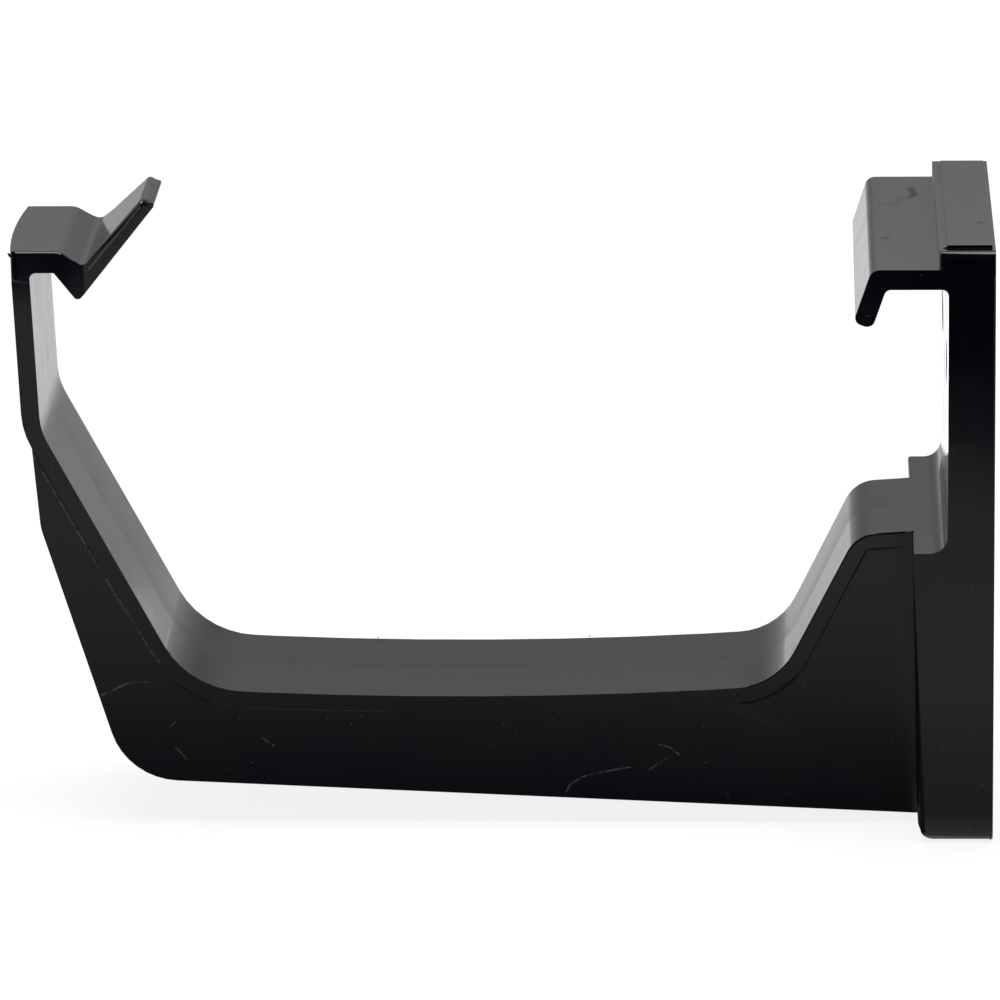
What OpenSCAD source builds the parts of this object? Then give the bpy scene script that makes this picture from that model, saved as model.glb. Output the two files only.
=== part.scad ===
// Square-line gutter bracket, moulded in one piece. It is screwed to a fascia board and holds a
// length of gutter: the cradle follows the gutter's outside, the rear hook takes its back edge,
// and the clip with its thumb lever snaps over its front edge.
//
// Origin: midway between the two screw holes, on the plate's back face.
// +X points into the wall, +Y along the gutter, +Z up. Angles are in degrees, sizes in mm.
// The foot is the bottom end of the back plate.

/* [Gutter] */
// Clear width for the gutter, from the back plate to the front wall
gutter_w = 114.6; // [100:0.2:140]
// Height of the cradle floor above the foot, at its front end
floor_h = 18.2; // [14:0.2:26]
// How much higher the floor lies at its back end
floor_rise = 0.4; // [0:0.1:2]
// How far the middle of the floor sags
floor_sag = 1.2; // [0:0.1:3]
// Height of the clip's underside above the floor, for the gutter's front edge
front_edge_h = 55; // [48:0.5:65]
// Height of the hook's underside above the floor, for the gutter's back edge
back_edge_h = 55.6; // [50:0.2:65]
// Height above the floor where the gutter's front turns upright
bend_h = 34.4; // [28:0.2:40]
// How far the floor's front end stands behind the front wall
front_foot = 18.4; // [14:0.2:24]
// How far the floor's back end stands in front of the back plate
back_foot = 21.6; // [18:0.2:30]
// Lean of the front wall from upright
wall_lean = 1.9; // [0:0.1:4]

/* [Cradle] */
// Width of the cradle along the gutter
arm_w = 22; // [18:0.5:30]
// Thickness of the cradle strip
strip_t = 2.1; // [1.6:0.1:3]
// Thickness of the front wall
wall_t = 2.3; // [1.8:0.1:3]
// Height of the ledge above the floor, at the back plate
ledge_h = 21; // [15:0.2:26]
// How far the ledge reaches in front of the upper plate
ledge_reach = 11.3; // [10:0.1:14]
// Fall of the ledge away from the wall
ledge_fall = 3.8; // [0:0.2:6]
// Radius inside the floor's front corner
front_corner_r = 11.5; // [6:0.5:14]
// Radius inside the floor's back corner
back_corner_r = 8.8; // [5:0.2:12]
// Radius where the ledge turns down
brink_r = 4.5; // [2:0.5:6]
// Radius where the front slope turns upright
bend_r = 8; // [4:0.5:12]

/* [Arm] */
// Width over the arm's side walls at the front
nose_w = 22.5; // [19:0.5:30]
// Width over the arm's side walls at the back plate
root_w = 21.4; // [17:0.2:28]
// Thickness of the arm's side walls
side_t = 2.1; // [1.6:0.1:3]
// How far the arm's lowest front corner stands behind the clip's front
nose_back = 12.5; // [9:0.5:18]
// Height of the arm's lower edge above the foot, at the back plate
heel_h = 1.35; // [0.5:0.05:4]
// Rise of the arm's lower edge towards the front
belly_rise = 2.7; // [0:0.1:4]
// Height above the floor of the knee in the arm's front edge
knee_h = 21.6; // [14:0.2:26]
// How far the knee stands behind the clip's front
knee_back = 2.6; // [2:0.1:4]
// How far below the gutter's bend the arm's front edge runs out
chin_drop = 2.4; // [1.5:0.1:5]
// Radius of the arm's lowest front corner
nose_r = 9; // [4:0.5:12]
// Radius of the knee
knee_r = 6; // [2:0.5:10]
// Number of cross ribs between the arm's side walls
cross_rib_count = 2; // [1:1:5]
// Thickness of the ribs
rib_t = 1.6; // [1:0.1:2.4]
// How far the cross ribs stop short of the side walls' lower edges
rib_gap = 3; // [1:0.5:6]

/* [Front clip] */
// Thickness of the clip
clip_t = 2.7; // [2:0.1:3.4]
// Length of the clip's flat top
clip_flat = 6.1; // [5.4:0.1:9]
// How far the front edge of the clip bows forward
clip_bow = 0.65; // [0.2:0.05:1.5]
// How far the bowed front reaches below the clip
skirt_drop = 0.95; // [0.5:0.05:4]
// Depth of the valley behind the flat top
valley_drop = 1.9; // [1:0.1:2.4]
// Slope down into the valley
valley_slope = 32; // [25:1:45]
// How far the catch reaches below the valley
catch_drop = 4.5; // [4:0.1:6]
// How far the catch's tip stands in front of the valley
catch_lead = 0.85; // [0.2:0.05:1.5]
// Slope of the catch's inner face
catch_slope = 51.8; // [48:0.2:65]
// Length of the lever's upper face
lever_len = 10.2; // [7:0.2:16]
// Slope of the lever's upper face
lever_slope = 46.2; // [36:0.2:52]
// How much steeper the lever's lower face is, so that it thins towards its tip
lever_taper = 2.7; // [0.5:0.1:3.5]
// Width of the lever at its tip
lever_tip_w = 10.6; // [6:0.2:18]

/* [Back plate] */
// Thickness of the upper plate
plate_t = 5.8; // [5:0.1:8]
// Thickness of the lower plate, at the ledge
toe_t = 10.1; // [9:0.1:14]
// How much thinner the lower plate is at the foot
toe_draft = 0.7; // [0:0.1:1.2]
// Thickness of the plate's head, above the hook
head_t = 6.4; // [5:0.1:9]
// Height of the plate's head above the hook
head_h = 2.2; // [1:0.1:8]
// Width of the plate at its top
plate_w_top = 43.9; // [38:0.1:60]
// Width of the plate at its foot
plate_w_foot = 36.1; // [34:0.1:56]
// Height of the pad on top of the head
pad_h = 0.4; // [0.2:0.1:1]
// Width of the low border on either side of the pad
pad_border = 1.9; // [1:0.1:4]
// Thickness of the plate's shell round its cored back
shell_t = 2.2; // [1.6:0.1:3]
// Height above the ledge of the shelf across the cored back
shelf_rise = 9.8; // [4:0.2:14]
// Radius of the hollow between the ledge and the plate
ledge_fillet = 2.3; // [1:0.1:3.5]
// Radius of the foot's lower front edge
foot_r = 2.9; // [1:0.1:4]
// Radius of the foot's lower side corners
foot_corner_r = 2; // [1:0.5:5]

/* [Rear hook] */
// Thickness of the hook
hook_t = 2.5; // [2:0.1:3.4]
// How far the hook reaches in front of the plate
hook_reach = 9.45; // [7:0.05:13]
// Length of the hook's turned-down lip
lip_len = 7; // [5:0.1:10]
// Slope of the lip, from level
lip_slope = 70.8; // [60:0.2:85]
// Radius of the bend on top of the hook
hook_r = 1.4; // [0.5:0.1:2.5]

/* [Fixing] */
// Diameter of the screw holes
screw_d = 5.5; // [4:0.1:6.5]
// Distance between the two screw holes
screw_spacing = 22; // [16:0.5:24]
// Depth of the screw holes below the plate's top
screw_drop = 17; // [14:0.5:22]
// Thickness of the bosses' walls round the screw holes
boss_wall = 2.5; // [1.6:0.1:3]

/* [Hidden] */
$fn = 64;
plastic = [0.075, 0.075, 0.08];

edge_r = 0.4;     // the small radius left on sharp profile corners
corner_r = 0.8;   // the hook's root and the clip's upright corners
head_r = 1.2;     // the upright front corners of the plate's head
brow_r = 2.5;     // where the clip's flat top turns down
valley_r = 1;     // the bottom of the clip's valley
catch_r = 0.6;    // the catch's tip
tip_r = 0.7;      // the lever's upper end
tip_a = 28;       // how steeply the lever's end face falls
lip_r = 1;        // both corners of the lip's end
arc_step = 9;     // the turn from one point of a rounded corner to the next
floor_steps = 8;  // straight stretches in the sagging floor
bow_steps = 8;    // straight stretches in the clip's bowed front
over = 1;         // how far a cut runs past a face, so that no skin is left
sink = 0.5;       // how far ribs and bosses run into the walls that carry them
far = 200;        // a length greater than anything on the bracket

// ---- Plane geometry -------------------------------------------------------------------------

function along(a) = [cos(a), sin(a)];
function left_of(a) = [-sin(a), cos(a)];
function heading(p, q) = atan2(q.y - p.y, q.x - p.x);
function unit(v) = v / norm(v);
function xy(p) = [p.x, p.y];
function reversed(list) = [for (i = [len(list) - 1 : -1 : 0]) list[i]];

// A point with the radius that its corner is rounded by
function pt(p, r = 0) = [p.x, p.y, r];

// Where the line through p at angle a crosses the line through q at angle b
function meet(p, a, q, b) = p + along(a) * cross(q - p, along(b)) / cross(along(a), along(b));

// The same, once the lines are moved to their left by dp and dq
function meet_beside(p, a, dp, q, b, dq) = meet(p + left_of(a) * dp, a, q + left_of(b) * dq, b);

// The arc that rounds the corner at b on the way from a to c
function arc(a, b, c, r) =
    let(
        u = unit(a - b),
        v = unit(c - b),
        half = acos(u * v) / 2,
        centre = b + unit(u + v) * r / sin(half),
        start = b + u * r / tan(half) - centre,
        turn = (180 - 2 * half) * sign(cross(v, u)),
        n = max(2, ceil(abs(turn) / arc_step))
    )
    [for (i = [0 : n]) centre + along(atan2(start.y, start.x) + turn * i / n) * r];

// A closed outline from corners given as [x, y, radius]
function rounded(path) =
    let(n = len(path))
    [for (i = [0 : n - 1])
        let(a = path[(i + n - 1) % n], b = path[i], c = path[(i + 1) % n])
        each b[2] > 0 ? arc(xy(a), xy(b), xy(c), b[2]) : [xy(b)]];

// An outline seen from the side, given width along the gutter
module side(path, w) {
    rotate([90, 0, 0])
        linear_extrude(w, center = true)
            polygon(rounded(path));
}

// An outline seen from above, standing from z0 to z1
module plan(path, z0, z1) {
    translate([0, 0, z0])
        linear_extrude(z1 - z0)
            polygon(rounded(path));
}

// An outline seen from the front, running from x0 to x1
module front(path, x0, x1) {
    translate([x0, 0, 0])
        rotate([90, 0, 90])
            linear_extrude(x1 - x0)
                polygon(rounded(path));
}

// ---- Where the main faces lie ---------------------------------------------------------------

plate_x = -plate_t;
wall_x = plate_x - gutter_w;
clip_x = wall_x - wall_t;
rim_z = floor_h + front_edge_h;
clip_z = rim_z + clip_t;
skirt_z = rim_z - skirt_drop;
ledge_z = floor_h + ledge_h;
hook_z = floor_h + back_edge_h + hook_t;
head_z = hook_z + head_h;
screw_z = head_z - screw_drop;

// ---- Cradle ---------------------------------------------------------------------------------

// The strip's upper line: wall, bend, floor, brink and ledge
wall_top = [wall_x, rim_z];
wall_a = wall_lean - 90;
bend = meet(wall_top, wall_a, [0, floor_h + bend_h], 0);
floor_front = [wall_x + front_foot, floor_h];
floor_back = [plate_x - back_foot, floor_h + floor_rise];
ledge_root = [-toe_t, ledge_z];
brink = meet(ledge_root, ledge_fall, [plate_x - ledge_reach, 0], 90);
front_a = heading(floor_front, bend);
rear_a = heading(floor_back, brink);
floor_a = heading(floor_front, floor_back);

// The strip's lower line, at the strip's thickness below it
under_bend = meet_beside(wall_top, wall_a, -wall_t, floor_front, front_a, strip_t);
under_front = meet_beside(floor_front, front_a, strip_t, floor_front, floor_a, -strip_t);
under_back = meet_beside(floor_back, rear_a, -strip_t, floor_back, floor_a, -strip_t);
under_brink = meet_beside(brink, rear_a, -strip_t, brink, ledge_fall, -strip_t);
root_x = -toe_t + toe_draft + sink;
under_root = meet_beside(brink, ledge_fall, -strip_t, [root_x, 0], 90, 0);

function sag(s) = floor_sag * 4 * s * (1 - s);

// The sagging floor from its back end p to its front end q, with the radii of its two corners
function floor_line(p, q, rp, rq) = [
    for (i = [0 : floor_steps])
        let(s = i / floor_steps, c = p + (q - p) * s)
        [c.x, c.y - sag(s), i == 0 ? rp : i == floor_steps ? rq : 0]
];

upper_line = concat(
    [pt(meet(ledge_root, ledge_fall, [root_x, 0], 90)), pt(brink, brink_r)],
    floor_line(floor_back, floor_front, back_corner_r, front_corner_r),
    [pt(bend, bend_r)]
);
lower_line = concat(
    [pt(under_root), pt(under_brink, edge_r)],
    floor_line(under_back, under_front, back_corner_r + strip_t, front_corner_r + strip_t),
    [pt(under_bend, bend_r + wall_t)]
);

module cradle() {
    inner = meet(wall_top, wall_a, [0, skirt_z], 0);
    outer = meet_beside(wall_top, wall_a, -wall_t, [0, skirt_z], 0, 0);
    side(concat(upper_line, [pt(inner), pt(outer)], reversed(lower_line)), arm_w);
}

// ---- Arm ------------------------------------------------------------------------------------

// The front edge runs out in the strip at the chin
chin = meet_beside(floor_front, front_a, strip_t, [0, bend.y - chin_drop], 0, 0);
knee = [clip_x + knee_back, floor_h + knee_h];
heel = [root_x, heel_h];
nose = meet(heel, 180 - belly_rise, [clip_x + nose_back, 0], 90);
hollow_w = min(root_w, nose_w, arm_w) - 2 * side_t;

function belly_z(x) = heel.y + (heel.x - x) * tan(belly_rise);

// The side walls, a little further apart at the nose than at the plate
module side_walls() {
    under_strip = [for (i = [0 : len(lower_line) - 2]) lower_line[i]];
    difference() {
        intersection() {
            side(
                concat(under_strip, [pt(chin), pt(knee, knee_r), pt(nose, nose_r), pt(heel)]),
                max(nose_w, root_w)
            );
            plan([
                [clip_x, -nose_w / 2, 0], [-toe_t, -root_w / 2, 0], [root_x + sink, -root_w / 2, 0],
                [root_x + sink, root_w / 2, 0], [-toe_t, root_w / 2, 0], [clip_x, nose_w / 2, 0]
            ], 0, head_z);
        }
        side(
            concat(under_strip, [
                pt(under_bend), [clip_x - over, under_bend.y, 0], [clip_x - over, -over, 0],
                [root_x + sink + over, -over, 0], [root_x + sink + over, under_root.y, 0]
            ]),
            hollow_w
        );
    }
}

// Cross ribs, spaced evenly along the floor, from the strip's middle downwards
module cross_ribs() {
    for (i = [1 : cross_rib_count]) {
        s = i / (cross_rib_count + 1);
        foot = floor_back + (floor_front - floor_back) * s;
        z0 = belly_z(foot.x) + rib_gap;
        z1 = foot.y - sag(s) - strip_t / 2;
        translate([foot.x - rib_t / 2, -hollow_w / 2 - sink, z0])
            cube([rib_t, hollow_w + 2 * sink, z1 - z0]);
    }
}

// ---- Front clip -----------------------------------------------------------------------------

brow = [clip_x + clip_flat, clip_z];
valley = meet(brow, -valley_slope, [0, clip_z - valley_drop], 0);
tip = valley + along(lever_slope) * lever_len;
catch = valley - [catch_lead, catch_drop];
catch_root = meet(catch, 180 - catch_slope, wall_top, 0);
tip_under = meet(catch, lever_slope + lever_taper, tip, -tip_a);

// Seen from above, the clip is bowed at the front and narrows along the lever
module clip_from_above() {
    bow = [
        for (i = [0 : bow_steps])
            let(s = 2 * i / bow_steps - 1)
            [clip_x - clip_bow * (1 - s * s), -s * arm_w / 2, abs(s) == 1 ? corner_r : 0]
    ];
    plan(concat(bow, [
        [valley.x, -arm_w / 2, 0], [tip_under.x, -lever_tip_w / 2, corner_r],
        [tip_under.x, lever_tip_w / 2, corner_r], [valley.x, arm_w / 2, 0]
    ]), 0, far);
}

module front_clip() {
    front_x = clip_x - clip_bow - over;
    intersection() {
        side([
            [front_x, skirt_z, 0], [front_x, clip_z, 0], pt(brow, brow_r), pt(valley, valley_r),
            pt(tip, tip_r), pt(tip_under, edge_r), pt(catch, catch_r), pt(catch_root, edge_r),
            pt(wall_top, corner_r), pt(meet(wall_top, wall_a, [0, skirt_z], 0))
        ], arm_w);
        clip_from_above();
    }
}

// ---- Back plate and rear hook ---------------------------------------------------------------

lip_a = 180 + lip_slope;
hook_bend = [plate_x - hook_reach, hook_z];
lip_end = hook_bend + along(lip_a) * lip_len;
lip_end_in = lip_end + left_of(lip_a) * hook_t;
hook_inside = meet(lip_end_in, lip_a, [0, hook_z - hook_t], 0);

// The plate seen from the front, drawn in by d all round
module plate_outline(d, x0, x1) {
    top = plate_w_top / 2 - d;
    foot = plate_w_foot / 2 - d;
    front([
        [-foot, d, foot_corner_r], [foot, d, foot_corner_r],
        [top, head_z - d, corner_r], [-top, head_z - d, corner_r]
    ], x0, x1);
}

// The plate up to the top of the hook, with the hook
module plate_and_hook() {
    side([
        [0, 0, edge_r], [-toe_t + toe_draft, 0, foot_r], pt(ledge_root, edge_r),
        [plate_x, ledge_z, ledge_fillet], [plate_x, hook_z - hook_t, corner_r],
        pt(hook_inside, corner_r), pt(lip_end_in, lip_r), pt(lip_end, lip_r),
        pt(hook_bend, hook_r), [0, hook_z, 0]
    ], plate_w_top);
}

// The head stands on the hook's top, with its upright front corners rounded
module head() {
    plan([
        [0, -plate_w_top / 2, 0], [0, plate_w_top / 2, 0],
        [-head_t, plate_w_top / 2, head_r], [-head_t, -plate_w_top / 2, head_r]
    ], hook_z - sink, head_z);
}

// The pad raised on the head, between two low borders
module pad() {
    side([
        [-edge_r, head_z - sink, 0], [edge_r - head_t, head_z - sink, 0],
        [edge_r - head_t, head_z + pad_h, edge_r / 2], [-edge_r, head_z + pad_h, edge_r / 2]
    ], plate_w_top - 2 * pad_border);
}

// What is cored out of the plate from its back
module core() {
    intersection() {
        side([
            [over, shell_t, 0], [-toe_t + toe_draft + shell_t, shell_t, edge_r],
            [-toe_t + shell_t, ledge_z - shell_t, edge_r],
            [plate_x + shell_t, ledge_z - shell_t, edge_r],
            [plate_x + shell_t, head_z - shell_t, edge_r], [over, head_z - shell_t, 0]
        ], plate_w_top);
        plate_outline(shell_t, -toe_t, 2 * over);
    }
}

// Inside the core: a shelf above the ledge, an upright from it between the screws, and two
// uprights below the ledge that carry on the arm's side walls
module core_ribs() {
    shelf_z = ledge_z + shelf_rise;
    lower_x = -toe_t + toe_draft + sink;
    intersection() {
        plate_outline(sink, -toe_t, 0);
        union() {
            translate([plate_x + sink, -plate_w_top / 2, shelf_z])
                cube([plate_t - sink, plate_w_top, rib_t]);
            translate([plate_x + sink, -rib_t / 2, shelf_z])
                cube([plate_t - sink, rib_t, head_z - shelf_z]);
            for (y = [-1, 1] * (root_w - side_t) / 2)
                translate([lower_x, y - rib_t / 2, 0])
                    cube([-lower_x, rib_t, ledge_z - sink]);
        }
    }
}

// A round bar at each screw, for the bosses and for the holes through them
module at_screws(d, x0, x1) {
    for (y = [-1, 1] * screw_spacing / 2)
        translate([x0, y, screw_z])
            rotate([0, 90, 0])
                cylinder(d = d, h = x1 - x0);
}

module back_plate() {
    difference() {
        union() {
            difference() {
                union() {
                    intersection() {
                        union() {
                            plate_and_hook();
                            head();
                        }
                        plate_outline(0, -far, over);
                    }
                    pad();
                }
                core();
            }
            core_ribs();
            at_screws(screw_d + 2 * boss_wall, plate_x + sink, 0);
        }
        at_screws(screw_d, plate_x - over, over);
    }
}

// ---- The whole moulding ---------------------------------------------------------------------

module bracket() {
    color(plastic)
        translate([0, 0, -screw_z]) {
            cradle();
            side_walls();
            cross_ribs();
            front_clip();
            back_plate();
        }
}

bracket();
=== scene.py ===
"""Black moulded gutter bracket: its plastic with the marks of use and two painted highlights, the studio
stage, lamp and camera.
"""

import math
import random

import bmesh
import bpy
from mathutils import Matrix, Vector


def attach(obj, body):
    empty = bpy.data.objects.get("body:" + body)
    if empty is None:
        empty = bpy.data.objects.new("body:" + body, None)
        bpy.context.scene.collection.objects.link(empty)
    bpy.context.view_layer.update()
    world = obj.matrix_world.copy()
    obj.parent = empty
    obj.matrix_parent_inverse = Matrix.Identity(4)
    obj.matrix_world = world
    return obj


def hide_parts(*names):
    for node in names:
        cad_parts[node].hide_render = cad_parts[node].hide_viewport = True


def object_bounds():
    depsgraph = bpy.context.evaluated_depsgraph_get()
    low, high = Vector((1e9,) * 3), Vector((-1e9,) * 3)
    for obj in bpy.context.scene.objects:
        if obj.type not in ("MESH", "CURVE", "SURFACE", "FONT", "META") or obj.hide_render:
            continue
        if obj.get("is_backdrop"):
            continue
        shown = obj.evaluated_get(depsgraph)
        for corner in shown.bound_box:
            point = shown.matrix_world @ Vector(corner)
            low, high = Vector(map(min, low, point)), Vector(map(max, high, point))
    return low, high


MM = 0.001

# camera: place in mm, angles in degrees
CAMERA_AT = (-15.887, -876.566, 263.529)
CAMERA_YAW = 3.047
CAMERA_DOWN = 18.0
CAMERA_ROLL = 1.009
CAMERA_LENS = 260.8
CAMERA_SENSOR = 36
CAMERA_REACH = 10  # metres

# moulding: lengths in mm; a box is its lowest and its highest corner
WELD = 0.001
ONE_FACE = 0.5  # degrees: faces that bend less become one
SHARP_FROM = 28  # degrees: a smaller bend is part of a curve
FLAT_FROM = 1  # mm2: the least face of the plate's back that is shaded flat
WALLWARD = 0.5  # the least x of the normal of a face of that back
FACE_WEIGHT = 100  # how far large faces lead the shading of the small ones beside them
LIST_ALONG = (1.0, 0.618034, 0.414214)  # edges and faces are listed along this way

CORNER_FROM = 25  # degrees: the least bend of an edge that is rounded
SIDE_FACE = 0.6  # the least y of the normal of a side
TOP_FACE = 0.4  # and the greatest of the face that meets it
ROUND_STEPS = 5
ROUND_EDGES = (  # corners of a box, with y from the middle; which faces meet a side there; radius
    ((-113.05, 5, 12), (-105.3, 12, 21), lambda normal: normal.z > -0.25, 1.0),  # lever
    ((-124, 10.5, 12), (-114.2, 12, 21), lambda normal: normal.z > -0.25, 0.5),  # clip
    ((-10.2, 16, -60), (-8.6, 21, -30), lambda normal: normal.x < -0.9, 0.9),  # lower plate
    ((-5.7, 20, 17.3), (-0.7, 20.1, 17.5), lambda normal: normal.z > 0.9, 0.38),  # pad
)

CRADLE_END = ((-9.0, -11.1, -22.35), (-8.8, 11.1, -22.15))  # box round its last points
CRADLE_END_X = -9.75
CRADLE_END_TOP = -22.277

PLATE_HALF = 21  # half the plate's width
PLATE_FROM = -10.5  # where the plate starts, along x
SKEW = 0.5  # how far the plate's far side stands towards the arm
SKEW_GROWS = (-25, -15)  # along x
HEAD_FROM = 14.75
HEAD_FRONT = (-6.5, -5.45)  # between these x
HEAD_REACH = 0.6  # how much further than the solid's the head reaches over the hook
PAD_FROM = 17.1
PAD_HALF = 20.06
LEAN = 0.9  # how far the plate's near side leans back at its top
LEAN_FROM = 9
LEAN_TO = 17
LEAN_SEAM = 0.2  # height of a narrow band that keeps the lower part's shading level

NIB_SEED = 7
NIB_SHAPE = (1, 0.5, 0.4)  # width, depth and height, as shares of its length
NIB_TORN = 0.06  # how far its points stray, as a share of its length
NIBS = (  # flash left at the parting edges: place, length
    ((-122.75, -10.7, 14.0), 0.8),
    ((-120.45, 10.9, 3.4), 0.4),
    ((-120.5, 10.9, 2.0), 0.35),
    ((-117.4, -10.9, -14.2), 0.35),
    ((-104.3, -10.9, -38.6), 0.35),
    ((-102.8, -10.9, -40.5), 0.3),
    ((-79.3, 10.9, -44.0), 0.3),
    ((-51.8, 10.9, -43.8), 0.3),
    ((-0.3, -18.0, -60.9), 0.35),
)


# ---- moulding -----------------------------------------------------------------------------


def within(place, low, high):
    return all(start < value < end for start, value, end in zip(low, place, high))


def share(value, start, end):
    return min(max((value - start) / (end - start), 0.0), 1.0)


def add_nib(mesh, place, length, dice):
    """A torn scrap of flash, half sunk in the edge that it hangs from."""
    size = Matrix.Diagonal([part * length * MM for part in NIB_SHAPE] + [1])
    turn = Matrix.Rotation(dice.uniform(0, math.pi), 4, "Y")
    spot = Matrix.Translation(Vector(place) * MM)
    made = bmesh.ops.create_icosphere(mesh, subdivisions=2, radius=0.5, matrix=spot @ turn @ size)
    for vert in made["verts"]:
        vert.co += Vector(dice.uniform(-1, 1) for _ in range(3)) * NIB_TORN * length * MM


def level_ledge(mesh):
    """Draw the cradle's end back to where it meets the top of the lower plate."""
    for vert in mesh.verts:
        place = vert.co / MM
        if within(place, *CRADLE_END):
            vert.co.x = CRADLE_END_X * MM
            vert.co.z = min(place.z, CRADLE_END_TOP) * MM


def cut_plate(mesh, height):
    """Cut the plate's faces in two at one height."""
    faces = [face for face in mesh.faces if all(vert.co.x > PLATE_FROM * MM for vert in face.verts)]
    parts = list(dict.fromkeys(part for face in faces for part in (face, *face.edges, *face.verts)))
    bmesh.ops.bisect_plane(mesh, geom=parts, plane_co=(0, 0, height * MM), plane_no=(0, 0, 1))


def corner_edges(mesh, low, high, wanted):
    """Outer edges in a box between a side and a face whose normal is wanted."""
    found = []
    for edge in mesh.edges:
        x, y, z = (edge.verts[0].co + edge.verts[1].co) / 2 / MM
        if within((x, abs(y), z), low, high) and edge.calc_face_angle(0) > math.radians(CORNER_FROM):
            top, side = sorted((face.normal for face in edge.link_faces), key=lambda normal: abs(normal.y))
            corner = abs(side.y) > SIDE_FACE and abs(top.y) < TOP_FACE and edge.calc_face_angle_signed() > 0
            if corner and wanted(top):
                found.append(edge)
    return found


def round_off(mesh, edges, radius):
    bmesh.ops.bevel(
        mesh, geom=edges, offset=radius * MM, offset_type="OFFSET", segments=ROUND_STEPS, profile=0.5,
        affect="EDGES", clamp_overlap=False, loop_slide=True, miter_outer="SHARP",
    )


def settled(place):
    """Where a point of the solid stands in the real bracket, whose plate is a little askew."""
    x, y, z = place / MM
    on_pad = z > PAD_FROM and abs(y) < PAD_HALF
    if z > HEAD_FROM and HEAD_FRONT[0] < x < HEAD_FRONT[1] and not on_pad:
        x -= HEAD_REACH
    x -= SKEW * share(x, *SKEW_GROWS) * share(y, -PLATE_HALF, PLATE_HALF)
    y += LEAN * share(z, LEAN_FROM, LEAN_TO) * share(-y, 0, PLATE_HALF)
    return Vector((x, y, z)) * MM


def list_in_order(mesh):
    """Put edges and faces in the same order each run: rounding leaves them in a chance one."""
    for parts in (mesh.edges, mesh.faces):
        parts.sort(key=lambda part: sum((vert.co for vert in part.verts), Vector()).dot(LIST_ALONG))


def moulding_mesh(solid):
    """The solid's own surface with whole faces in place of triangles, worn and settled as the real one."""
    mesh = bmesh.new()
    mesh.from_mesh(solid)
    bmesh.ops.remove_doubles(mesh, verts=mesh.verts, dist=WELD * MM)
    level_ledge(mesh)
    bmesh.ops.dissolve_limit(
        mesh, angle_limit=math.radians(ONE_FACE), verts=mesh.verts, edges=mesh.edges
    )
    for low, high, wanted, radius in ROUND_EDGES:
        round_off(mesh, corner_edges(mesh, low, high, wanted), radius)
    cut_plate(mesh, LEAN_FROM)
    cut_plate(mesh, LEAN_FROM - LEAN_SEAM)
    for vert in mesh.verts:
        vert.co = settled(vert.co)
    list_in_order(mesh)
    dice = random.Random(NIB_SEED)
    for place, length in NIBS:
        add_nib(mesh, place, length, dice)
    data = bpy.data.meshes.new("moulding")
    mesh.to_mesh(data)
    mesh.free()
    return data


def moulding(node):
    """The bracket: smooth over its curves, sharp at its edges and flat on the plate's back."""
    data = moulding_mesh(node.data)
    data.shade_smooth()
    for face in data.polygons:
        face.use_smooth = face.normal.x < WALLWARD or face.area < FLAT_FROM * MM * MM
    data.set_sharp_from_angle(angle=math.radians(SHARP_FROM))
    piece = bpy.data.objects.new("moulding", data)
    bpy.context.scene.collection.objects.link(piece)
    level = piece.modifiers.new("level", "WEIGHTED_NORMAL")
    level.keep_sharp = True
    level.weight = FACE_WEIGHT
    return piece


# ---- shader nodes -------------------------------------------------------------------------


def join(tree, node, values):
    """Give a node's inputs their values, in order: sockets are linked, numbers are set."""
    for socket, value in zip(node.inputs, values):
        if isinstance(value, bpy.types.NodeSocket):
            tree.links.new(value, socket)
        elif value is not None:
            socket.default_value = value


def maths(tree, kind, a, b=0.0, clamp=False):
    node = tree.nodes.new("ShaderNodeMath")
    node.operation = kind
    node.use_clamp = clamp
    join(tree, node, (a, b))
    return node.outputs[0]


def plus(tree, a, b):
    return maths(tree, "ADD", a, b)


def times(tree, a, b):
    return maths(tree, "MULTIPLY", a, b)


def larger(tree, a, b):
    return maths(tree, "MAXIMUM", a, b)


def vectors(tree, kind, a, b, out=0):
    node = tree.nodes.new("ShaderNodeVectorMath")
    node.operation = kind
    join(tree, node, (a, b))
    return node.outputs[out]


def rise(tree, value, start, end, low=0.0, high=1.0):
    """low up to start, high from end on, and a smooth change between."""
    node = tree.nodes.new("ShaderNodeMapRange")
    node.interpolation_type = "SMOOTHSTEP"
    join(tree, node, (value, start, end, low, high))
    return node.outputs[0]


def fall(tree, value, start, end):
    """1 up to start, 0 from end on, and a smooth change between."""
    return rise(tree, value, start, end, 1.0, 0.0)


def graph(tree, value, points):
    """A line through (value, result) points, which run upwards; no result is over 1."""
    low, high = points[0][0], points[-1][0]
    ramp = tree.nodes.new("ShaderNodeValToRGB")
    stops = ramp.color_ramp.elements
    stops.remove(stops[1])
    for place, result in points:
        stop = stops.new((place - low) / (high - low)) if place > low else stops[0]
        stop.color = (result, result, result, 1)
    join(tree, ramp, (maths(tree, "DIVIDE", maths(tree, "SUBTRACT", value, low), high - low),))
    return ramp.outputs[0]


def inside(tree, place, box):
    """1 inside a box of the object's own space in mm, 0 outside."""
    found = 1.0
    for value, start, end in zip(place, *box):
        found = times(tree, maths(tree, "GREATER_THAN", value, start), found)
        found = times(tree, maths(tree, "LESS_THAN", value, end), found)
    return found


def noise(tree, coords, size, detail=2.0):
    """Soft random grey, about 0.5, in patches of the size in mm."""
    node = tree.nodes.new("ShaderNodeTexNoise")
    tree.links.new(coords, node.inputs["Vector"])
    node.inputs["Scale"].default_value = 1 / size
    node.inputs["Detail"].default_value = detail
    return node.outputs["Fac"]


def split(tree, coords):
    node = tree.nodes.new("ShaderNodeSeparateXYZ")
    tree.links.new(coords, node.inputs[0])
    return node.outputs


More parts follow.
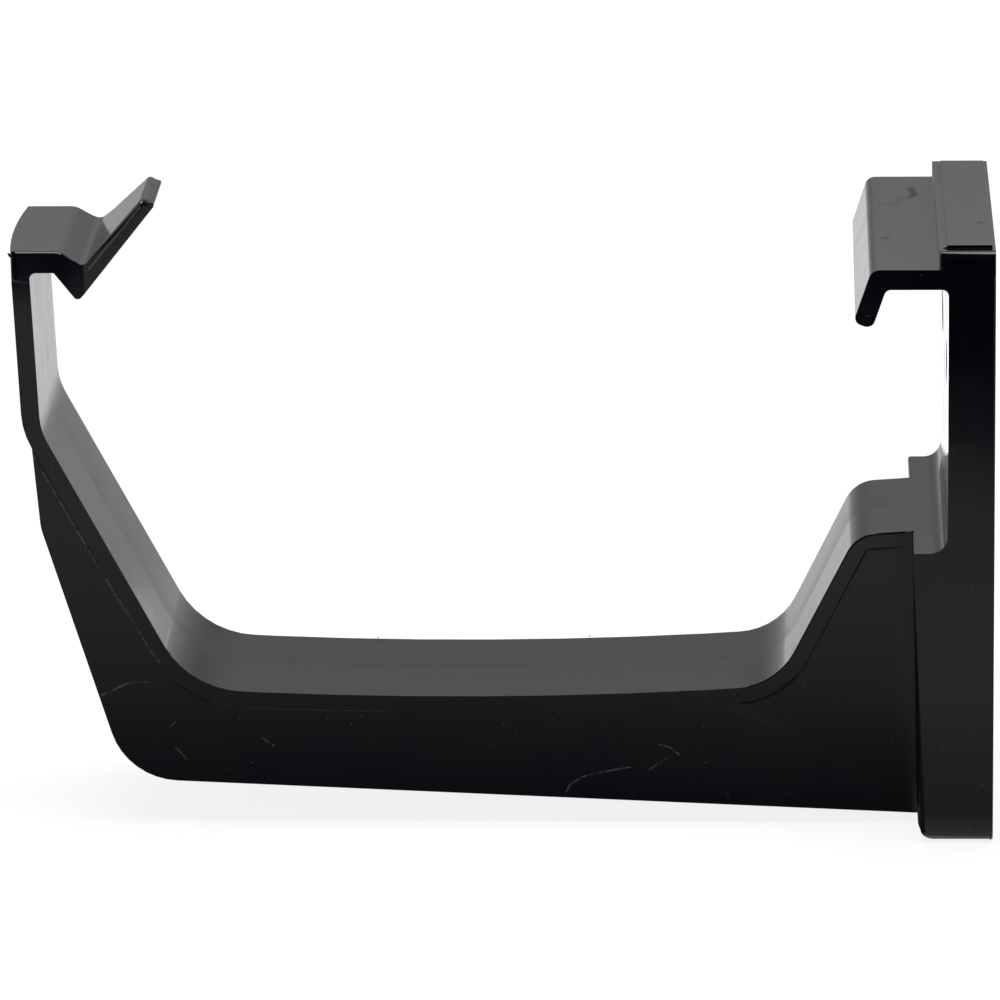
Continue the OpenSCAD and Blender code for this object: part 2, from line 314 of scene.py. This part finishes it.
def flat(tree, u, v):
    node = tree.nodes.new("ShaderNodeCombineXYZ")
    join(tree, node, (u, v))
    return node.outputs[0]


def stroke(tree, point, start, end, width):
    """1 along a straight line on a plane, fading out at its width in mm."""
    ax, ay = start
    bx, by = end[0] - ax, end[1] - ay
    reach = bx * bx + by * by
    away = vectors(tree, "SUBTRACT", point, (ax, ay, 0))
    along = vectors(tree, "DOT_PRODUCT", away, (bx / reach, by / reach, 0), 1)
    along = maths(tree, "ADD", along, 0.0, clamp=True)
    nearest = vectors(tree, "MULTIPLY", flat(tree, along, along), (bx, by, 0))
    gap = vectors(tree, "DISTANCE", away, nearest, 1)
    return fall(tree, gap, 0.3 * width, width)


def marks(tree, point, lines, width):
    """All the strokes of the lines, each at its own strength."""
    total = 0.0
    for points, strength in lines:
        for start, end in zip(points, points[1:]):
            total = larger(tree, times(tree, stroke(tree, point, start, end, width), strength), total)
    return total


# ---- plastic ------------------------------------------------------------------------------

# lengths in mm; a box is its lowest and its highest corner
BLACK = (0.0017, 0.0011, 0.004, 1)
# pale of scratches and dust, also used for painted highlights along two edges
WORN_AND_HIGHLIGHT = (0.06, 0.06, 0.065, 1)
IOR = 1.5

EDGE_R = 0.04
EDGE_SAMPLES = 8
EDGE_BOXES = (  # a box, and how much more its edges are rounded
    (((-124, -12, -62), (-103, 12, 21)), 0.08),
    (((-1.5, -23, -62), (1, 23, 14)), 0.45),
    (((-32, -12, -46), (-11, 12, -19)), 0.36),
)
EDGES_END = (10, 14)  # past these y the edges are crisp

WAVE_SIZE, WAVE_DEPTH = 9.0, 0.02
GRAIN_SIZE, GRAIN_DEPTH = 0.35, 0.0006
# the front of the plate, seen at a grazing angle, where waves would look like stripes
STILL = ((-7, -21.5, -20), (-4.5, 22, 14.5))
SWELL_AT, SWELL_R, SWELL_HEIGHT = (-3.7, 0.6, 0), 3.2, 0.06
SWELL_BOX = ((-9, -9, 14.9), (1, 9, 21))

GLOSS = (0.10, 0.16)  # roughness where the surface is smoothest and dullest
GLOSS_PATCH = 7.0
GLOSS_RANGE = (0.3, 0.7)
SIDE_GLOSS = -0.05  # added on the plate's side and the clip's
SIDES = (((-10.5, -23, -62), (1, -13, 21)), ((-124, -12, -6), (-103, -10.4, 21)))
SATIN = 0.3  # added beside the parting line that runs along the middle of the seat
SATIN_BOX = ((-122, -1.5, -62), (-9, 11.5, 11))
SATIN_ACROSS = ((-1.5, 0.0), (0.3, 1.0), (10.5, 0.1))
SATIN_UP = ((-46, 1.0), (-41.5, 0.35), (-24, 0.5), (-12, 0.3), (2, 0.1), (12, 0.05))
SATIN_END = (-14, -11)
SCUFFED = 0.3

DUST_SPACING, DUST_R, DUST_SHARE, DUST_STRENGTH = 1.6, 0.16, 0.3, 0.5
BROKEN_PATCH = 0.5  # size of the gaps in a scratch, and in the painted highlight beside the strip
BROKEN_RANGE = (0.35, 0.6)
SCRATCH_AND_HIGHLIGHT_W = 0.16
SCUFF_W = 0.7
NEAR_SIDE = ((-124, -12, -62), (-10, -10.4, 11))
LEVER_SIDE = ((-114, -12, 11), (-104, -5, 21))
HEAD_TOP = ((-20, -23, 14.5), (1, 23, 21))
SLOPE_LINE = ((-120.9, -11.8), (-113.0, -26.8), (-106.8, -38.1), (-105.6, -39.7))  # painted highlight along the edge beside the strip
LEVER_LINE = ((-112.9, 12.1), (-111.5, 13.7), (-109.1, 16.3), (-106.7, 18.9))  # painted highlight along the edge below the lever's top
NEAR_MARKS = (  # scratches on the arm's side, and a painted highlight along the edge beside the strip: x and z along each, and its strength
    (((-113.1, -44.1), (-110.0, -42.6)), 1.0),
    (((-110.0, -42.6), (-108.4, -42.3), (-106.9, -42.4)), 0.35),
    (((-104.4, -48.3), (-103.9, -47.8)), 0.5),
    (((-103.9, -51.1), (-102.5, -52.8)), 0.6),
    (((-92.8, -49.9), (-91.3, -51.0)), 0.7),
    (((-54.3, -57.5), (-53.7, -56.3), (-52.1, -55.2), (-49.8, -54.6), (-46.0, -53.9)), 0.8),
    (((-42.9, -50.7), (-41.0, -51.2), (-39.6, -52.3)), 0.9),
    (((-43.6, -54.3), (-40.9, -52.3)), 0.5),
    (SLOPE_LINE, 1.0),
    (((-122.6, 10.75), (-120.7, 10.5)), 0.5),
)
HEAD_MARKS = (  # scuffs on the hook and the head: x and y along each, and its strength
    (((-14.2, 8.6), (-12.6, 8.4), (-11.2, 11.5)), 0.5),
    (((-10.2, 16.2), (-9.8, 12.9), (-10.4, 12.0)), 1.0),
    (((-13.7, -6.8), (-13.4, -6.6)), 0.9),
    (((-1.8, -9.0), (-1.6, -8.9)), 0.9),
)


def specks(tree, coords):
    """Scattered dots of dust: 1 inside a dot."""
    node = tree.nodes.new("ShaderNodeTexVoronoi")
    tree.links.new(coords, node.inputs["Vector"])
    node.inputs["Scale"].default_value = 1 / DUST_SPACING
    radius = DUST_R / DUST_SPACING
    dot = fall(tree, node.outputs["Distance"], 0.5 * radius, radius)
    pick = maths(tree, "LESS_THAN", split(tree, node.outputs["Color"])[0], DUST_SHARE)
    return times(tree, dot, pick)


def edge_radius(tree, place):
    radius = EDGE_R
    for box, more in EDGE_BOXES:
        radius = plus(tree, times(tree, inside(tree, place, box), more), radius)
    return times(tree, radius, rise(tree, place[1], *EDGES_END, MM, 0.0))


def surface_height(tree, coords, place):
    """Waves, grain and a low swelling of the moulded skin, in mm."""
    x, y, _ = place
    moving = maths(tree, "SUBTRACT", 1.0, inside(tree, place, STILL))
    waves = times(tree, times(tree, noise(tree, coords, WAVE_SIZE, 1.0), WAVE_DEPTH), moving)
    grain = times(tree, noise(tree, coords, GRAIN_SIZE), GRAIN_DEPTH)
    gap = vectors(tree, "DISTANCE", flat(tree, x, y), SWELL_AT, 1)
    swell = times(tree, fall(tree, gap, 0.0, SWELL_R), inside(tree, place, SWELL_BOX))
    return plus(tree, plus(tree, waves, grain), times(tree, swell, SWELL_HEIGHT))


def wear_and_highlights(tree, coords, place):
    """Where the plastic is pale with wear and with painted highlights along two edges, and where it is
    dull.
    """
    x, y, z = place
    side = flat(tree, x, z)
    # the near marks hold a painted highlight along the edge beside the strip as well as scratches
    scratches_and_highlight = times(tree, marks(tree, side, NEAR_MARKS, SCRATCH_AND_HIGHLIGHT_W), inside(tree, place, NEAR_SIDE))
    # a painted highlight along the lever's edge
    lever_highlight = times(tree, marks(tree, side, ((LEVER_LINE, 1.0),), SCRATCH_AND_HIGHLIGHT_W), inside(tree, place, LEVER_SIDE))
    scuffs = times(tree, marks(tree, flat(tree, x, y), HEAD_MARKS, SCUFF_W), inside(tree, place, HEAD_TOP))
    dust = times(tree, specks(tree, coords), DUST_STRENGTH)
    broken = rise(tree, noise(tree, coords, BROKEN_PATCH), *BROKEN_RANGE)
    pale = larger(tree, times(tree, scratches_and_highlight, broken), larger(tree, lever_highlight, dust))
    return pale, larger(tree, scuffs, scratches_and_highlight)


def roughness(tree, coords, place, dull):
    x, y, z = place
    satin = times(tree, graph(tree, y, SATIN_ACROSS), graph(tree, z, SATIN_UP))
    satin = times(tree, satin, inside(tree, place, SATIN_BOX))
    satin = times(tree, satin, fall(tree, x, *SATIN_END))
    rough = rise(tree, noise(tree, coords, GLOSS_PATCH), *GLOSS_RANGE, *GLOSS)
    rough = plus(tree, rough, times(tree, satin, SATIN))
    rough = plus(tree, rough, times(tree, dull, SCUFFED))
    for box in SIDES:
        rough = plus(tree, rough, times(tree, inside(tree, place, box), SIDE_GLOSS))
    return rough


def plastic():
    material = bpy.data.materials.new("black_plastic")
    material.use_nodes = True
    tree = material.node_tree
    shader = tree.nodes["Principled BSDF"]
    shader.inputs["IOR"].default_value = IOR
    coords = tree.nodes.new("ShaderNodeTexCoord").outputs["Object"]
    coords = vectors(tree, "MULTIPLY", coords, (1 / MM,) * 3)
    place = split(tree, coords)
    pale, dull = wear_and_highlights(tree, coords, place)

    colour = tree.nodes.new("ShaderNodeMix")
    colour.data_type = "RGBA"
    colour.inputs["A"].default_value = BLACK
    colour.inputs["B"].default_value = WORN_AND_HIGHLIGHT
    # wear, dust and painted highlights lighten the black
    tree.links.new(pale, colour.inputs["Factor"])
    tree.links.new(colour.outputs["Result"], shader.inputs["Base Color"])
    tree.links.new(roughness(tree, coords, place, dull), shader.inputs["Roughness"])

    edge = tree.nodes.new("ShaderNodeBevel")
    edge.samples = EDGE_SAMPLES
    tree.links.new(edge_radius(tree, place), edge.inputs["Radius"])
    relief = tree.nodes.new("ShaderNodeBump")
    relief.inputs["Distance"].default_value = MM
    tree.links.new(surface_height(tree, coords, place), relief.inputs["Height"])
    tree.links.new(edge.outputs[0], relief.inputs["Normal"])
    tree.links.new(relief.outputs[0], shader.inputs["Normal"])
    return material


# ---- stage and light ----------------------------------------------------------------------

# how bright the table looks in the plastic, by mm in front of the bracket
TABLE = (
    (20, 0.05), (30, 0.09), (48, 0.155), (66, 0.255), (82, 0.31), (103, 0.37), (122, 0.42), (140, 0.46),
    (260, 0.45),
)
TABLE_PLATEWARD = (-60, -20, 1.0, 1.15)  # and how it gains towards the plate
PLATE_TABLE = (  # the same under the plate
    (20, 0.5), (24, 0.42), (26.5, 0.26), (31, 0.27), (45, 0.32), (60, 0.42), (75, 0.46), (108, 0.42),
    (134, 0.40), (260, 0.40),
)
PLATE_TABLE_FROM = (-10.2, -9.2)
# how much of that is left past the table's far rim, which slants
RIM = (
    (128, 1.0), (132, 0.95), (136, 0.78), (152, 0.7), (156, 0.27), (176, 0.2), (182, 0.12), (186, 0.02),
    (250, 0.01),
)
RIM_SLANT = 0.687
CLIP_RIM = ((255, 1.0), (264, 0.12), (290, 0.03), (400, 0.01))  # the same under the clip, without a slant
CLIP_RIM_TO = (-90, -60)
RIGHT = ((60, 0.0), (98, 0.6), (210, 0.5), (290, 0.4))  # by mm to the right of the wall
# the same behind the bracket, by mm across, with a bright patch behind the plate
REAR = (
    (-150, 1.0), (-107, 0.88), (-60, 0.7), (-40, 0.47), (-30, 0.44), (-18, 0.5), (5, 0.47), (60, 0.5),
)
REAR_GAIN = 1.29
REAR_FROM = (-11, 20)
PATCH_FROM_X = (-28, -20)
PATCH_TO_Y = (255, 275)
# how bright the backdrop looks in it, by mm above the floor
CARD = (
    (0, 0.68), (60, 0.48), (110, 0.35), (131, 0.37), (145, 0.4), (159, 0.46), (169, 0.5), (206, 0.63),
    (300, 0.75), (600, 0.85),
)
CARD_AT = (-60, 400)  # its middle along x, and its place along y
CARD_SIZE = (700, 600)

FLOOR_REACH = 3.0  # metres
PAPER = 0.22
PAPER_GLOW = 0.86

# the room by the way a ray goes: from the wall's side to the front, and how bright it is at each
ROOM = (-0.2, 0.9, 0.18, 0.6)
ROOM_MIRRORED = (-0.2, 0.9, 0.04, 0.6)
WINDOW = 0.6  # how bright a low window on the right looks in the plastic
WINDOW_LEFT = (0.3, 0.4)
WINDOW_BACK = (-0.3, -0.2)
WINDOW_FOOT = (0.04, 0.1)
WINDOW_TOP = (0.3, 0.36)

LAMP_AT = (-0.06, 0.0, 1.0)  # metres
LAMP_TOWARDS = (-0.06, 0, 0)
LAMP_SIZE = (0.7, 0.7)
LAMP_POWER = 8


def glow(tree, colour, strength=1.0):
    node = tree.nodes.new("ShaderNodeEmission")
    join(tree, node, (colour, strength))
    return node.outputs[0]


def mixed(tree, factor, first, second):
    node = tree.nodes.new("ShaderNodeMixShader")
    join(tree, node, (factor, first, second))
    return node.outputs[0]


def blend(tree, factor, first, second):
    node = tree.nodes.new("ShaderNodeMix")
    join(tree, node, (factor,))
    tree.links.new(first, node.inputs["A"])
    tree.links.new(second, node.inputs["B"])
    return node.outputs[0]


def stage_material(name, make):
    """A stage material: make(tree, place) gives what other rays and what reflections see."""
    material = bpy.data.materials.new(name)
    material.use_nodes = True
    tree = material.node_tree
    tree.nodes.clear()
    coords = tree.nodes.new("ShaderNodeNewGeometry").outputs["Position"]
    coords = vectors(tree, "MULTIPLY", coords, (1 / MM,) * 3)
    plain, mirrored = make(tree, split(tree, coords))
    path = tree.nodes.new("ShaderNodeLightPath")
    output = tree.nodes.new("ShaderNodeOutputMaterial")
    look = mixed(tree, path.outputs["Is Glossy Ray"], plain, mirrored)
    tree.links.new(look, output.inputs["Surface"])
    return material


def front_glow(tree, x, y):
    """The table in front of the bracket: dim at its foot, bright further out, dark past its rim."""
    away = times(tree, y, -1.0)
    under_arm = times(tree, graph(tree, away, TABLE), rise(tree, x, *TABLE_PLATEWARD))
    table = blend(tree, rise(tree, x, *PLATE_TABLE_FROM), under_arm, graph(tree, away, PLATE_TABLE))
    slant = plus(tree, away, times(tree, x, RIM_SLANT))
    rim = blend(tree, rise(tree, x, *CLIP_RIM_TO), graph(tree, away, CLIP_RIM), graph(tree, slant, RIM))
    return larger(tree, times(tree, table, rim), graph(tree, x, RIGHT))


def rear_glow(tree, x, y):
    """The floor behind the bracket."""
    patch = times(tree, rise(tree, x, *PATCH_FROM_X), fall(tree, y, *PATCH_TO_Y))
    return plus(tree, times(tree, graph(tree, x, REAR), REAR_GAIN), patch)


def floor_look(tree, place):
    x, y, _ = place
    paper = tree.nodes.new("ShaderNodeBsdfDiffuse")
    paper.inputs["Color"].default_value = (PAPER, PAPER, PAPER, 1)
    lit = tree.nodes.new("ShaderNodeAddShader")
    join(tree, lit, (paper.outputs[0], glow(tree, (1, 1, 1, 1), PAPER_GLOW)))
    mix = tree.nodes.new("ShaderNodeMix")
    mix.data_type = "RGBA"
    tree.links.new(rise(tree, y, *REAR_FROM), mix.inputs["Factor"])
    tree.links.new(front_glow(tree, x, y), mix.inputs["A"])
    tree.links.new(rear_glow(tree, x, y), mix.inputs["B"])
    return lit.outputs[0], glow(tree, mix.outputs["Result"])


def card_look(tree, place):
    clear = tree.nodes.new("ShaderNodeBsdfTransparent")
    above = maths(tree, "SUBTRACT", place[2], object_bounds()[0].z / MM)
    return clear.outputs[0], glow(tree, graph(tree, above, CARD))


def sheet(name, corners, material):
    data = bpy.data.meshes.new(name)
    data.from_pydata(corners, [], [(0, 1, 2, 3)])
    data.materials.append(material)
    item = bpy.data.objects.new(name, data)
    bpy.context.scene.collection.objects.link(item)
    item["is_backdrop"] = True


def add_stage():
    foot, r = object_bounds()[0].z, FLOOR_REACH
    corners = [(-r, -r, foot), (r, -r, foot), (r, r, foot), (-r, r, foot)]
    sheet("floor", corners, stage_material("floor", floor_look))
    left, right = ((CARD_AT[0] + side * CARD_SIZE[0] / 2) * MM for side in (-1, 1))
    y, top = CARD_AT[1] * MM, foot + CARD_SIZE[1] * MM
    corners = [(left, y, foot), (right, y, foot), (right, y, top), (left, y, top)]
    sheet("card", corners, stage_material("card", card_look))


def add_lamp():
    data = bpy.data.lights.new("overhead", "AREA")
    data.shape = "RECTANGLE"
    data.size, data.size_y = LAMP_SIZE
    data.energy = LAMP_POWER
    lamp = bpy.data.objects.new("overhead", data)
    lamp.location = LAMP_AT
    lamp.rotation_mode = "QUATERNION"
    lamp.rotation_quaternion = (Vector(LAMP_TOWARDS) - Vector(LAMP_AT)).to_track_quat("-Z", "Y")
    bpy.context.scene.collection.objects.link(lamp)


def background(tree, colour):
    node = tree.nodes.new("ShaderNodeBackground")
    join(tree, node, (colour, 1.0))
    return node.outputs[0]


def add_world():
    """White to the camera; a dim room, lighter behind the bracket, to everything else."""
    world = bpy.data.worlds.new("studio")
    world.use_nodes = True
    tree = world.node_tree
    tree.nodes.clear()
    x, y, z = split(tree, tree.nodes.new("ShaderNodeTexCoord").outputs["Generated"])
    window = times(tree, rise(tree, x, *WINDOW_LEFT), fall(tree, y, *WINDOW_BACK))
    window = times(tree, window, rise(tree, z, *WINDOW_FOOT))
    window = times(tree, window, rise(tree, z, *WINDOW_TOP, WINDOW, 0.0))
    mirrored = background(tree, plus(tree, rise(tree, y, *ROOM_MIRRORED), window))
    room = background(tree, rise(tree, y, *ROOM))
    path = tree.nodes.new("ShaderNodeLightPath")
    room = mixed(tree, path.outputs["Is Glossy Ray"], room, mirrored)
    sky = mixed(tree, path.outputs["Is Camera Ray"], room, background(tree, (1, 1, 1, 1)))
    output = tree.nodes.new("ShaderNodeOutputWorld")
    tree.links.new(sky, output.inputs["Surface"])
    bpy.context.scene.world = world


# ---- camera -------------------------------------------------------------------------------


def add_camera():
    yaw, down, roll = (math.radians(angle) for angle in (CAMERA_YAW, CAMERA_DOWN, CAMERA_ROLL))
    look = Vector((-math.sin(yaw) * math.cos(down), math.cos(yaw) * math.cos(down), -math.sin(down)))
    right = Vector((math.cos(yaw), math.sin(yaw), 0))
    up = right.cross(look)
    x = right * math.cos(roll) - up * math.sin(roll)
    y = right * math.sin(roll) + up * math.cos(roll)
    data = bpy.data.cameras.new("camera")
    data.lens = CAMERA_LENS
    data.sensor_width = CAMERA_SENSOR
    data.clip_end = CAMERA_REACH
    camera = bpy.data.objects.new("camera", data)
    place = Matrix((x, y, -look)).transposed().to_4x4()
    place.translation = Vector(CAMERA_AT) * MM
    camera.matrix_world = place
    bpy.context.scene.collection.objects.link(camera)
    bpy.context.scene.camera = camera


# ---- scene --------------------------------------------------------------------------------

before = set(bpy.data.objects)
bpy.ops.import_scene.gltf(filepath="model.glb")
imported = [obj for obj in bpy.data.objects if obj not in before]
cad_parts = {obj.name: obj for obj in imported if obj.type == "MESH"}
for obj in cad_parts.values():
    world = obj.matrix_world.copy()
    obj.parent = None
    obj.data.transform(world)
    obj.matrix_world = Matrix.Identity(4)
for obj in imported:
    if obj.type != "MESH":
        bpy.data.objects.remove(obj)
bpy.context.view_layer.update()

piece = moulding(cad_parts["bracket"])
piece.data.materials.append(plastic())
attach(piece, "root")
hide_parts("bracket")

add_stage()
add_world()
add_lamp()
add_camera()

bpy.context.scene.view_settings.view_transform = "Standard"
